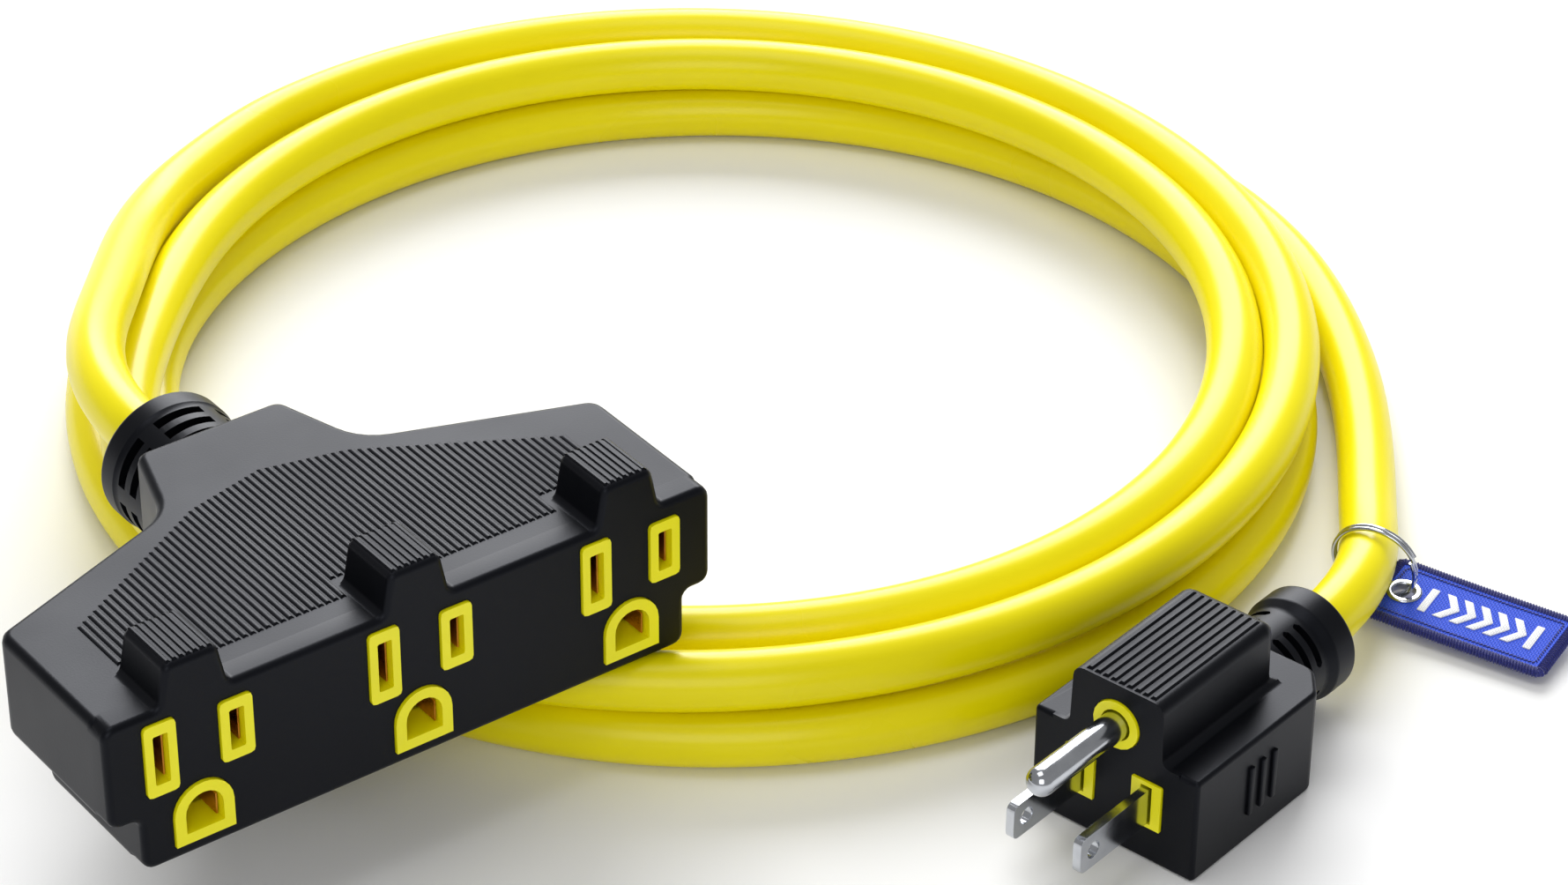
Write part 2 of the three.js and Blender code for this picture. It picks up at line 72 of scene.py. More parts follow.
def pick(obj):
    deselectAll()
    obj.select_set(True)
    bpy.context.view_layer.objects.active = obj


def roundedOutline(corners, steps=4):
    # corners are (x, y, radius); each becomes an arc, convex or concave
    points = []
    for i, (x, y, radius) in enumerate(corners):
        here = Vector((x, y))
        before = (Vector(corners[i - 1][:2]) - here).normalized()
        after = (Vector(corners[(i + 1) % len(corners)][:2]) - here).normalized()
        if radius == 0:
            points.append((x, y))
            continue
        half = before.angle(after) / 2
        centre = here + (before + after).normalized() * radius / math.sin(half)
        start = here + before * radius / math.tan(half) - centre
        end = here + after * radius / math.tan(half) - centre
        startAngle = math.atan2(start.y, start.x)
        turn = (math.atan2(end.y, end.x) - startAngle + math.pi) % (2 * math.pi) - math.pi
        for step in range(steps + 1):
            angle = startAngle + turn * step / steps
            points.append((centre.x + radius * math.cos(angle), centre.y + radius * math.sin(angle)))
    return points


def rectangle(x0, x1, y0, y1, radius):
    return roundedOutline([(x0, y0, radius), (x1, y0, radius), (x1, y1, radius), (x0, y1, radius)])


def startOutline(name, points, fill="NGON"):
    # a circle with as many corners as the outline, moved on to it; millimetres in, metres out
    deselectAll()
    bpy.ops.mesh.primitive_circle_add(vertices=len(points), radius=mm, fill_type=fill)
    obj = bpy.context.object
    obj.name = name
    for vertex, point in zip(obj.data.vertices, points):
        vertex.co = Vector(point) * mm
    return obj


def extrudeAlong(obj, move):
    pick(obj)
    bpy.ops.object.mode_set(mode="EDIT")
    bpy.ops.mesh.select_all(action="SELECT")
    bpy.ops.mesh.extrude_region_move(TRANSFORM_OT_translate={"value": Vector(move) * mm})
    bpy.ops.mesh.select_all(action="SELECT")
    bpy.ops.mesh.normals_make_consistent(inside=False)
    bpy.ops.object.mode_set(mode="OBJECT")
    return obj


def plate(name, outline, low, high):
    # a plan outline raised from low to high
    obj = startOutline(name, [(x, y, low) for x, y in outline])
    return extrudeAlong(obj, (0, 0, high - low))


def profile(name, outline, front, back):
    # a front outline carried from front to back
    obj = startOutline(name, [(x, front, z) for x, z in outline])
    return extrudeAlong(obj, (0, back - front, 0))


def lathe(name, outline, x=0, z=0, steps=64, angle=2 * math.pi):
    # an outline of (radius, y) spun about an axis along Y through x, z
    obj = startOutline(name, [(x + r, y, z) for r, y in outline], fill="NOTHING")
    pick(obj)
    bpy.ops.object.mode_set(mode="EDIT")
    bpy.ops.mesh.select_all(action="SELECT")
    if angle < 2 * math.pi:
        bpy.ops.mesh.edge_face_add()
    bpy.ops.mesh.spin(steps=steps, angle=angle, center=(x * mm, 0, z * mm), axis=(0, 1, 0))
    bpy.ops.mesh.select_all(action="SELECT")
    bpy.ops.mesh.remove_doubles(threshold=1e-6)
    bpy.ops.mesh.delete_loose(use_verts=True, use_edges=True, use_faces=False)
    bpy.ops.mesh.select_all(action="SELECT")
    bpy.ops.mesh.normals_make_consistent(inside=False)
    bpy.ops.object.mode_set(mode="OBJECT")
    return obj


def addModifier(obj, kind, **settings):
    modifier = obj.modifiers.new(kind.lower(), kind)
    for key, value in settings.items():
        setattr(modifier, key, value)
    pick(obj)
    bpy.ops.object.modifier_apply(modifier=modifier.name)
    return obj


def roundEdges(obj, width, segments=3, limit=50):
    return addModifier(
        obj, "BEVEL", width=width * mm, segments=segments, limit_method="ANGLE",
        angle_limit=math.radians(limit), use_clamp_overlap=True)


def roundChosenEdges(obj, width, segments, chosen):
    # chosen is asked about the two ends of each edge, in millimetres
    pick(obj)
    for vertex in obj.data.vertices:
        vertex.select = False
    for polygon in obj.data.polygons:
        polygon.select = False
    for edge in obj.data.edges:
        ends = [obj.data.vertices[i].co / mm for i in edge.vertices]
        edge.select = chosen(*ends)
    bpy.ops.object.mode_set(mode="EDIT")
    bpy.ops.mesh.select_mode(type="EDGE")
    bpy.ops.mesh.bevel(offset=width * mm, segments=segments, affect="EDGES")
    bpy.ops.object.mode_set(mode="OBJECT")
    return obj


def combine(obj, other, operation):
    addModifier(obj, "BOOLEAN", operation=operation, object=other, solver="EXACT")
    bpy.data.objects.remove(other)
    return obj


def joinAll(name, pieces):
    deselectAll()
    for piece in pieces:
        piece.select_set(True)
    bpy.context.view_layer.objects.active = pieces[0]
    if len(pieces) > 1:
        bpy.ops.object.join()
    pieces[0].name = name
    return pieces[0]


def ownCopy(obj, name):
    copy = obj.copy()
    copy.data = obj.data.copy()
    copy.name = name
    bpy.context.scene.collection.objects.link(copy)
    return copy


def smooth(obj, angle=35, weighted=True):
    pick(obj)
    bpy.ops.object.shade_smooth_by_angle(angle=math.radians(angle))
    if weighted:
        addModifier(obj, "WEIGHTED_NORMAL", keep_sharp=True)
    return obj


def place(obj, matrix):
    # the piece is modelled about its own origin and then set down in the frame
    pick(obj)
    obj.matrix_world = matrix @ obj.matrix_world
    bpy.ops.object.transform_apply(location=True, rotation=True, scale=True)
    return obj


def softCopy(node, name, width, segments=2):
    # a CAD node's own shape with its edges rounded
    deselectAll()
    copy = ownCopy(frame["nodes"][node], name)
    copy.parent = None
    for key in list(copy.keys()):
        del copy[key]
    copy.data.materials.clear()
    pick(copy)
    bpy.ops.object.mode_set(mode="EDIT")
    bpy.ops.mesh.select_all(action="SELECT")
    bpy.ops.mesh.remove_doubles(threshold=2e-6)
    bpy.ops.mesh.customdata_custom_splitnormals_clear()
    bpy.ops.mesh.dissolve_limited(angle_limit=math.radians(1))
    bpy.ops.object.mode_set(mode="OBJECT")
    roundEdges(copy, width, segments, limit=40)
    return smooth(copy)


def wear(obj, material, body):
    # gives a finished piece its material and its body
    obj.data.materials.clear()
    obj.data.materials.append(material)
    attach(obj, body)
    return obj


# Helpers for materials

def hexColor(value):
    channels = [int(value[i:i + 2], 16) / 255 for i in (1, 3, 5)]
    linear = [c / 12.92 if c <= 0.04045 else ((c + 0.055) / 1.055) ** 2.4 for c in channels]
    return (*linear, 1.0)


def addNode(material, kind, inputs=None, **settings):
    # a socket among the inputs is linked, anything else is set
    node = material.node_tree.nodes.new(kind)
    for key, value in settings.items():
        setattr(node, key, value)
    for key, value in (inputs or {}).items():
        if isinstance(value, bpy.types.NodeSocket):
            material.node_tree.links.new(value, node.inputs[key])
        else:
            node.inputs[key].default_value = value
    return node


def newMaterial(name, **shaderInputs):
    material = bpy.data.materials.new(name)
    material.use_nodes = True
    shader = material.node_tree.nodes["Principled BSDF"]
    for key, value in shaderInputs.items():
        shader.inputs[key.replace("_", " ")].default_value = value
    return material, shader


def mottle(material, shader, dark, light, grain, bumpGrain, bumpDepth, roughness):
    # colour drifts between two shades, roughness drifts a little, and a fine bump is laid over both;
    # grain and bumpGrain are sizes in millimetres
    coords = addNode(material, "ShaderNodeTexCoord").outputs["Object"]
    drift = addNode(material, "ShaderNodeTexNoise", {
        "Vector": coords, "Scale": 1 / (grain * mm), "Detail": 3.0})
    ramp = addNode(material, "ShaderNodeValToRGB", {"Fac": drift.outputs["Fac"]})
    ramp.color_ramp.elements[0].position = 0.3
    ramp.color_ramp.elements[0].color = hexColor(dark)
    ramp.color_ramp.elements[1].position = 0.7
    ramp.color_ramp.elements[1].color = hexColor(light)
    spread = addNode(material, "ShaderNodeMapRange", {
        "Value": drift.outputs["Fac"], "From Min": 0.3, "From Max": 0.7,
        "To Min": roughness[0], "To Max": roughness[1]})
    fine = addNode(material, "ShaderNodeTexNoise", {
        "Vector": coords, "Scale": 1 / (bumpGrain * mm), "Detail": 2.0})
    bump = addNode(material, "ShaderNodeBump", {
        "Height": fine.outputs["Fac"], "Strength": 1.0, "Distance": bumpDepth * mm})
    links = material.node_tree.links
    links.new(ramp.outputs["Color"], shader.inputs["Base Color"])
    links.new(spread.outputs["Result"], shader.inputs["Roughness"])
    links.new(bump.outputs["Normal"], shader.inputs["Normal"])
    return material


def yellowJacketPvc():
    # extruded PVC: glossy and slightly soft, with a faint orange peel from the die
    material, shader = newMaterial("extruded yellow PVC jacket", IOR=1.5, Specular_IOR_Level=0.28)
    return mottle(material, shader, "#eadb00", "#f4e600", 60, 1.6, 0.005, (0.26, 0.33))


def blackMouldedPvc():
    # overmoulded PVC: satin from a spark-eroded mould, its 0.1 mm grit drawn at 0.35 mm
    material, shader = newMaterial(
        "moulded black PVC", IOR=1.5, Specular_IOR_Level=0.16, Specular_Tint=hexColor("#e6ecff"))
    return mottle(material, shader, "#07080b", "#0c0d11", 25, 0.35, 0.010, (0.36, 0.44))


def yellowNylon():
    # injection-moulded nylon: a plain bright half gloss
    material, shader = newMaterial("moulded yellow nylon", IOR=1.53)
    return mottle(material, shader, "#f4ec00", "#faf200", 12, 0.5, 0.004, (0.34, 0.42))


def rolledBrass():
    # stamped from rolled strip: warm, with uneven polish
    material, shader = newMaterial("rolled brass", Metallic=1.0)
    return mottle(material, shader, "#b9753a", "#e0a05a", 3, 0.3, 0.003, (0.22, 0.42))


def nickelPlate():
    # bright nickel over brass: near mirror, with fine handling marks
    material, shader = newMaterial("bright nickel plate", Metallic=1.0)
    return mottle(material, shader, "#b4b7bd", "#c6c9ce", 4, 0.5, 0.002, (0.12, 0.20))


def corePvc(name, dark, light):
    # thin extruded insulation on each conductor
    material, shader = newMaterial(name + " PVC insulation", IOR=1.52)
    return mottle(material, shader, dark, light, 8, 0.6, 0.003, (0.38, 0.48))


def wovenPolyester(name, dark, light, thread, depth, sheen):
    # plain weave read from the piece's own UV map, in millimetres: over and under in a checker
    material, shader = newMaterial(name, IOR=1.5, Sheen_Weight=sheen, Sheen_Roughness=0.4, Roughness=0.72)
    uv = addNode(material, "ShaderNodeUVMap", uv_map="threads").outputs["UV"]
    warp = addNode(
        material, "ShaderNodeTexWave", {"Vector": uv, "Scale": 0.314 / thread}, bands_direction="X")
    weft = addNode(
        material, "ShaderNodeTexWave", {"Vector": uv, "Scale": 0.314 / thread}, bands_direction="Y")
    check = addNode(material, "ShaderNodeTexChecker", {"Vector": uv, "Scale": 1 / thread})
    height = addNode(material, "ShaderNodeMix", {
        0: check.outputs["Fac"], 2: warp.outputs["Fac"], 3: weft.outputs["Fac"]})
    # the colour follows the thread height: painted shade, darker in the dips between the threads and lighter
    # on their crowns
    colour = addNode(material, "ShaderNodeMix", {
        0: height.outputs[0], 6: hexColor(dark), 7: hexColor(light)}, data_type="RGBA")
    bump = addNode(material, "ShaderNodeBump", {
        "Height": height.outputs[0], "Strength": 0.8, "Distance": depth * mm})
    links = material.node_tree.links
    links.new(colour.outputs[2], shader.inputs["Base Color"])
    links.new(bump.outputs["Normal"], shader.inputs["Normal"])
    return material


jacketYellow = yellowJacketPvc()
mouldedBlack = blackMouldedPvc()
insertYellow = yellowNylon()
contactBrass = rolledBrass()
pinNickel = nickelPlate()
insulation = {
    "black": corePvc("black", "#161618", "#202023"),
    "white": corePvc("white", "#e4e2da", "#efede6"),
    "green": corePvc("green", "#1a7d34", "#239241"),
}
print("materials made")


# Camera

viewPoint = {
    "place": (-383.75, -542.0, 449.9), "forward": (0.5042, 0.6646, -0.5515),
    "roll": 0.4886, "lens": 107.68,
}


def addCamera():
    forward = Vector(viewPoint["forward"]).normalized()
    level = forward.cross(Vector((0, 0, 1))).normalized()
    upright = level.cross(forward)
    roll = math.radians(viewPoint["roll"])
    right = level * math.cos(roll) + upright * math.sin(roll)
    up = upright * math.cos(roll) - level * math.sin(roll)
    deselectAll()
    bpy.ops.object.camera_add()
    camera = bpy.context.object
    turned = Matrix((right, up, -forward)).transposed().to_4x4()
    camera.matrix_world = Matrix.Translation(Vector(viewPoint["place"]) * mm) @ turned
    camera.data.lens = viewPoint["lens"]
    camera.data.sensor_width = 36
    camera.data.clip_start = 0.01
    bpy.context.scene.camera = camera


addCamera()
print("camera set")


# Cord: from the outlet block down on to the coil, round it three times and out to the plug

cord = {
    "diameter": 9.8, "length": 2380, "centre": (23.1, 23.1), "turn": -37.2,
    "firstAngle": 218, "lastAngle": 1412, "step": 6,
    "outerRadius": 105.9, "innerRadius": 93.8, "lowRadius": 100.1, "lastRadius": 103.6,
    "innerShift": (2.2, -0.2), "lowShift": (5.4, -7.0),
    "inward": (488, 556), "down": (850, 935), "outward": (1175, 1240),
    "leaving": (1350, 1424), "leaveBy": 12.9,
    "sinks": (752, 900), "lean": 1.51,
}
# measured from the middle of the coil, as in the CAD
tapLead = [
    (-108.7, -7.3, 33.8), (-108.6, 0.5, 33.8), (-107.8, 8.5, 33.6), (-105.2, 18.5, 32.8),
    (-100.5, 28.8, 31.2), (-94.2, 38.8, 29.0), (-87.2, 48.0, 26.6), (-80.2, 57.4, 24.1),
    (-73.0, 67.0, 21.6), (-65.2, 76.8, 19.0), (-56.4, 85.6, 16.7), (-46.6, 93.4, 15.2),
]
plugLead = [
    (111.7, -33.1, 5.0), (108.4, -42.7, 5.0), (104.0, -52.8, 5.0), (98.2, -63.6, 5.0),
    (90.6, -75.4, 5.0), (81.4, -87.2, 5.2), (72.4, -97.4, 5.8), (65.2, -105.2, 6.7),
    (59.0, -112.2, 7.9), (52.8, -118.6, 9.3), (45.6, -123.9, 10.4), (37.6, -127.9, 10.9),
    (29.1, -130.5, 10.9),
]


def ease(span, angle):
    u = min(max((angle - span[0]) / (span[1] - span[0]), 0), 1)
    return u ** 3 * (u * (6 * u - 15) + 10)


def coilPoint(angle):
    # the angle runs clockwise from the right; each pass moves smoothly to its own ring
    inward = ease(cord["inward"], angle)
    down = ease(cord["down"], angle)
    outward = ease(cord["outward"], angle)
    height = 1.5 * cord["diameter"] - cord["diameter"] * ease(cord["sinks"], angle)
    radius = cord["outerRadius"] + (cord["innerRadius"] - cord["outerRadius"]) * inward
    radius += (cord["lowRadius"] - cord["innerRadius"]) * down
    radius += (cord["lastRadius"] - cord["lowRadius"]) * outward
    radius += cord["leaveBy"] * ease(cord["leaving"], angle)
    shift = [
        inner * inward + (low - inner) * down - low * outward
        for inner, low in zip(cord["innerShift"], cord["lowShift"])
    ]
    if angle < 900:
        shift[1] += cord["lean"] * (1.5 * cord["diameter"] - height) * (1 - ease((795, 885), angle))
    around = math.radians(-angle)
    flat = Vector((shift[0] + radius * math.cos(around), shift[1] + radius * math.sin(around), height))
    return Matrix.Rotation(math.radians(cord["turn"]), 3, "Z") @ flat


def addCord():
    angles = range(cord["firstAngle"], cord["lastAngle"] + 1, cord["step"])
    route = [Vector(p) for p in tapLead] + [coilPoint(a) for a in angles] + [Vector(p) for p in plugLead]
    centre = Vector((*cord["centre"], 0))
    curve = bpy.data.curves.new("cord", "CURVE")
    curve.dimensions = "3D"
    spline = curve.splines.new("NURBS")
    spline.points.add(len(route) - 1)
    for point, where in zip(spline.points, route):
        point.co = (*((where + centre) * mm), 1)
    spline.order_u = 4
    spline.use_endpoint_u = True
    spline.resolution_u = 4
    curve.bevel_depth = cord["diameter"] / 2 * mm
    curve.bevel_resolution = 10
    curve.use_fill_caps = True
    piece = bpy.data.objects.new("cord", curve)
    bpy.context.scene.collection.objects.link(piece)
    wear(piece, jacketYellow, "cord_set")
    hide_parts("cord_coil", "tap_lead", "plug_lead")
    return piece, (route[0] + centre) * mm


cordPiece, cordExit = addCord()
print("cord laid")


# Outlet block, modelled about the middle of its face on the line of the flat slots

block = {
    "halfWidth": 53.5, "lowerHalf": 48.5, "top": 8.2, "step": -9.9, "bottom": -19.5,
    "sideDepth": 30.5, "taper": (18, 43.5), "neck": (13, 60), "barrel": 12.8, "barrelZ": -5.6,
    "bumpBase": 5.9, "bumpCrown": 4.5, "bumpTop": 15.3, "bumpDepth": 12, "edge": 1.1,
}
outletPitch = 38.2
bladePitch = 12.7
slots = {
    "neutral": {"x": -bladePitch / 2, "frame": (5.3, 12.6)},
    "hot": {"x": bladePitch / 2, "frame": (5.5, 10.7)},
}
groundSlot = {"flat": -17, "crown": -7, "half": 5}
carrier = {
    "front": 2.3, "half": 48.3, "top": 6.7, "step": -8.7, "lowerHalf": 44.8, "bottom": -18.5, "back": 23.6,
    "coreHalf": 12, "coreTop": 6.4, "coreBottom": -15.2, "coreBack": 31, "bore": 5.4,
}
gripRibs = {"pitch": 1.3, "width": 0.9, "height": 0.24, "front": 8, "behindBump": 13}
outlets = [-outletPitch, 0, outletPitch]

tapLow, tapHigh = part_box("tap_overmould")
tapPlace = Matrix.Translation(Vector(((tapLow.x + tapHigh.x) / 2, tapLow.y, tapLow.z - block["bottom"] * mm)))


def blockFront():
    b = block
    corners = [
        (-b["lowerHalf"], b["bottom"], 2), (b["lowerHalf"], b["bottom"], 2),
        (b["lowerHalf"], b["step"], 1.5), (b["halfWidth"], b["step"], 2), (b["halfWidth"], b["top"], 2.2),
    ]
    for cx in reversed(outlets):
        corners += [
            (cx + b["bumpBase"], b["top"], 1.4), (cx + b["bumpCrown"], b["bumpTop"], 1.5),
            (cx - b["bumpCrown"], b["bumpTop"], 1.5), (cx - b["bumpBase"], b["top"], 1.4),
        ]
    corners += [
        (-b["halfWidth"], b["top"], 2.2), (-b["halfWidth"], b["step"], 2),
        (-b["lowerHalf"], b["step"], 1.5),
    ]
    return roundEdges(profile("tap body", roundedOutline(corners), 0, b["bumpDepth"]), b["edge"])


def blockRear(half, low, high, withNeck, lift):
    b = block
    tx, ty = b["taper"]
    corners = [(-half, 3, 0), (half, 3, 0), (half, b["sideDepth"] - lift, 3)]
    if withNeck:
        nx, ny = b["neck"]
        corners += [(tx, ty, 9), (nx, ny, 2.5), (-nx, ny, 2.5), (-tx, ty, 9)]
    else:
        corners += [(tx - 4, ty - lift, 4), (-tx + 4, ty - lift, 4)]
    corners.append((-half, b["sideDepth"] - lift, 3))
    return roundEdges(plate("block rear", roundedOutline(corners, 5), low, high), 1.5)


def neckBarrel():
    b = block
    r = b["barrel"]
    end = b["neck"][1] - 0.2
    outline = roundedOutline([(0, 30, 0), (r, 30, 0), (r, end, 1.8), (0, end, 0)])
    return lathe("neck barrel", outline, z=b["barrelZ"], steps=48)


def slotOutline(cx, slot, grow):
    halfWidth = slot["frame"][0] / 2 + grow
    halfHeight = slot["frame"][1] / 2 + grow
    x = cx + slot["x"]
    return rectangle(x - halfWidth, x + halfWidth, -halfHeight, halfHeight, 0.9)


def groundOutline(cx, grow):
    half = groundSlot["half"] + grow
    middle = groundSlot["crown"] - groundSlot["half"]
    low = groundSlot["flat"] - grow
    outline = [(cx - half, low), (cx + half, low)]
    for i in range(17):
        angle = math.pi * i / 16
        outline.append((cx + half * math.cos(angle), middle + half * math.sin(angle)))
    return outline


def blockWindows():
    windows = []
    for cx in outlets:
        for slot in slots.values():
            windows.append(profile("window", slotOutline(cx, slot, 0.15), -2, carrier["front"] + 0.4))
        windows.append(profile("window", groundOutline(cx, 0.15), -2, carrier["front"] + 0.4))
    return joinAll("windows", windows)


def carrierRoom():
    c = carrier
    outline = [
        (-c["lowerHalf"], c["bottom"]), (c["lowerHalf"], c["bottom"]), (c["lowerHalf"], c["step"]),
        (c["half"], c["step"]), (c["half"], c["top"]), (-c["half"], c["top"]), (-c["half"], c["step"]),
        (-c["lowerHalf"], c["step"]),
    ]
    return profile("carrier room", outline, c["front"], c["back"])


def coreRoom():
    c = carrier
    outline = [(-c["coreHalf"], c["coreBottom"]), (c["coreHalf"], c["coreBottom"]),
               (c["coreHalf"], c["coreTop"]), (-c["coreHalf"], c["coreTop"])]
    return profile("core room", outline, c["back"] - 1, c["coreBack"])


def cordBore(radius, start, end, z):
    return lathe("bore", [(0, start), (radius, start), (radius, end), (0, end)], z=z, steps=32)


def ribBar(name, x, front, back, z, width, height):
    # one low rib with a rounded top and rounded ends
    half = width / 2
    sunk = 0.15
    outline = [(-half, -sunk), (half, -sunk), (half, height * 0.4), (half * 0.5, height),
               (-half * 0.5, height), (-half, height * 0.4)]
    bar = profile(name, [(x + px, z + pz) for px, pz in outline], front, back)
    for vertex in bar.data.vertices:
        if vertex.co.z > (z + height * 0.9) * mm:
            vertex.co.y += math.copysign(0.4 * mm, (front + back) / 2 * mm - vertex.co.y)
    return bar


def fieldBack(x):
    # the rib field ends along three straight lines, as a flat roof does
    reach = abs(x)
    if reach > 14:
        return 41.2 - (reach - 14) * 0.57
    return 44.6 - reach * 0.24


def blockRibs():
    g = gripRibs
    ribs = []
    count = int(43.5 / g["pitch"])
    for i in range(-count, count + 1):
        x = i * g["pitch"]
        nearBump = min(abs(x - cx) for cx in outlets) < block["bumpBase"] + 1.2
        front = g["behindBump"] if nearBump else g["front"]
        ribs.append(ribBar("rib", x, front, fieldBack(x), block["top"], g["width"], g["height"]))
    for cx in outlets:
        for i in range(7):
            x = cx + (i - 3) * 1.15
            height = 0.36 if abs(i - 3) < 3 else 0.25
            back = block["bumpDepth"] - 0.5
            ribs.append(ribBar("rib", x, 0.7, back, block["bumpTop"] - 0.12, 0.75, height))
    return joinAll("ribs", ribs)


def addBlock():
    body = blockFront()
    combine(body, blockRear(block["halfWidth"], block["step"], block["top"], True, 0), "UNION")
    combine(body, blockRear(block["lowerHalf"], block["bottom"], block["step"] + 2, False, 2), "UNION")
    combine(body, neckBarrel(), "UNION")
    combine(body, carrierRoom(), "DIFFERENCE")
    combine(body, coreRoom(), "DIFFERENCE")
    combine(body, cordBore(carrier["bore"], carrier["coreBack"] - 1, block["neck"][1] + 2, block["barrelZ"]),
            "DIFFERENCE")
    combine(body, blockWindows(), "DIFFERENCE")
    smooth(body)
    ribs = smooth(blockRibs(), weighted=False)
    body = joinAll("tap_body", [body, ribs])
    place(body, tapPlace)
    wear(body, mouldedBlack, "cord_set")
    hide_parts("tap_overmould")
    return body


addBlock()
print("outlet block made")

socketFront = softCopy("tap_socket_front", "socket_front", 0.22)
wear(socketFront, insertYellow, "cord_set")
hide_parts("tap_socket_front")


# Strain reliefs: sleeves with rows of windows between lengthways bars

tapRelief = {
    "start": 59.6, "end": 75.3, "radius": 11.6, "bore": 5.35, "rows": [61.2, 64.6, 68.0], "rowWidth": 1.9,
    "bars": 6, "span": 44, "depth": 1.8, "rim": 0.9, "waist": 10.6,
}
plugRelief = {
    "start": 35.6, "end": 52.0, "radius": 9.2, "bore": 5.0, "rows": [37.2, 40.0, 42.8], "rowWidth": 1.4,
    "bars": 4, "span": 58, "depth": 1.3, "rim": 0.8, "waist": 8.2, "flare": 45.2,
}


def arcCutter(r0, r1, y0, y1, middle, span, roundEnds, z):
    # a stretch of a flat ring; its ends narrow in a round when asked
    cutter = lathe("cutter", [(r0, y0), (r1, y0), (r1, y1), (r0, y1)], steps=16, angle=math.radians(span))
    centreY = (y0 + y1) / 2 * mm
    halfWidth = (y1 - y0) / 2 * mm
    for vertex in cutter.data.vertices:
        along = math.degrees(math.atan2(vertex.co.z, vertex.co.x)) % 360
        if along > 180:
            along = 360 - along
        fromEnd = min(along, span - along) * math.pi / 180 * r1 * mm
        if roundEnds and fromEnd < halfWidth:
            left = halfWidth ** 2 - (halfWidth - fromEnd) ** 2
            narrowed = math.sqrt(max(left, (0.25 * halfWidth) ** 2))
            vertex.co.y = centreY + (vertex.co.y - centreY) * narrowed / halfWidth
    start = math.radians(middle + span / 2)
    turned = Matrix.Rotation(-start + math.radians(span), 4, "Y")
    cutter.data.transform(Matrix.Translation((0, 0, z * mm)) @ turned)
    return cutter


def reliefSleeve(name, r, outline, z, roundEnds):
    sleeve = lathe(name, outline, z=z, steps=72)
    cutters = []
    for row in r["rows"]:
        for bar in range(r["bars"]):
            middle = (bar + 0.5) * 360 / r["bars"]
            cutters.append(arcCutter(
                r["radius"] - r["depth"] - (r["radius"] - r["waist"]), r["radius"] + 1,
                row, row + r["rowWidth"], middle, r["span"], roundEnds, z))
    combine(sleeve, joinAll("windows", cutters), "DIFFERENCE")
    return smooth(sleeve)


def addTapRelief():
    r = tapRelief
    outline = roundedOutline([
        (r["bore"], r["start"], 0), (r["waist"] + 0.5, r["start"], 0), (r["radius"] - 0.3, 70.5, 3),
        (r["radius"], 71.2, 0.5), (r["radius"], r["end"], r["rim"]), (r["bore"], r["end"], r["rim"]),
    ])
    sleeve = reliefSleeve("tap_relief", r, outline, block["barrelZ"], False)
    place(sleeve, tapPlace)
    wear(sleeve, mouldedBlack, "cord_set")
    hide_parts("tap_strain_relief")
    return sleeve


addTapRelief()
print("strain relief made")


# Plug, modelled about the middle of its blades on its face, pins forward

plug = {
    "x": 0.9, "y": -119.0, "turn": -77.3, "bottom": -10.9, "shoulder": 8, "top": 19.1,
    "lowerHalf": 15.6, "upperHalf": 8.5, "lowerDepth": 36, "upperDepth": 29.5, "groundZ": 11.9,
    "shoulderIn": 4, "shoulderDepth": 5, "ribPitch": 1.5,
}
bridge = {"front": 0.9, "back": 20, "half": 11.3, "low": -4.7, "high": 5.9, "upHalf": 4.9, "upHigh": 15.7}
pinRing = 4.35
plugPlace = (
    Matrix.Translation(Vector((plug["x"], plug["y"], -plug["bottom"])) * mm)
    @ Matrix.Rotation(math.radians(plug["turn"]), 4, "Z")
)


def plugLower():
    p = plug
    half = p["lowerHalf"]
    inner = half - p["shoulderIn"]
    shoulder = p["lowerDepth"] - p["shoulderDepth"]
    outline = roundedOutline([
        (-half, 0, 0.8), (half, 0, 0.8), (half, shoulder, 2.5),
        (inner, p["lowerDepth"], 3), (-inner, p["lowerDepth"], 3), (-half, shoulder, 2.5),
    ])
    return roundEdges(plate("plug body", outline, p["bottom"], p["shoulder"]), 0.8)


def plugUpper():
    p = plug
    base = p["shoulder"] - 1
    outline = roundedOutline([
        (-12, base, 0), (12, base, 0), (12, p["shoulder"], 0), (p["upperHalf"] + 0.3, p["shoulder"], 1.4),
        (p["upperHalf"], p["top"], 2), (-p["upperHalf"], p["top"], 2),
        (-p["upperHalf"] - 0.3, p["shoulder"], 1.4), (-12, p["shoulder"], 0),
    ])
    upper = profile("plug upper", outline, 0, p["upperDepth"])
    back = p["upperDepth"] - 0.1
    roundChosenEdges(upper, 2.6, 4, lambda a, b: min(a.y, b.y) > back and min(a.z, b.z) > 8.2)
    return roundEdges(upper, 0.8)


def plugRoom():
    g = bridge
    outline = [
        (-g["half"], g["low"]), (g["half"], g["low"]), (g["half"], g["high"]), (g["upHalf"], g["high"]),
        (g["upHalf"], g["upHigh"]), (-g["upHalf"], g["upHigh"]), (-g["upHalf"], g["high"]),
        (-g["half"], g["high"]),
    ]
    return profile("plug room", outline, g["front"], g["back"])


def plugWindows():
    windows = []
    for side in (-1, 1):
        x = side * bladePitch / 2
        opening = rectangle(x - 2.95, x + 2.95, -4.35, 4.35, 0.5)
        windows.append(profile("window", opening, -2, bridge["front"] + 0.4))
    ring = [(0, -2), (pinRing, -2), (pinRing, bridge["front"] + 0.4), (0, bridge["front"] + 0.4)]
    windows.append(lathe("window", ring, z=plug["groundZ"], steps=40))
    return joinAll("windows", windows)


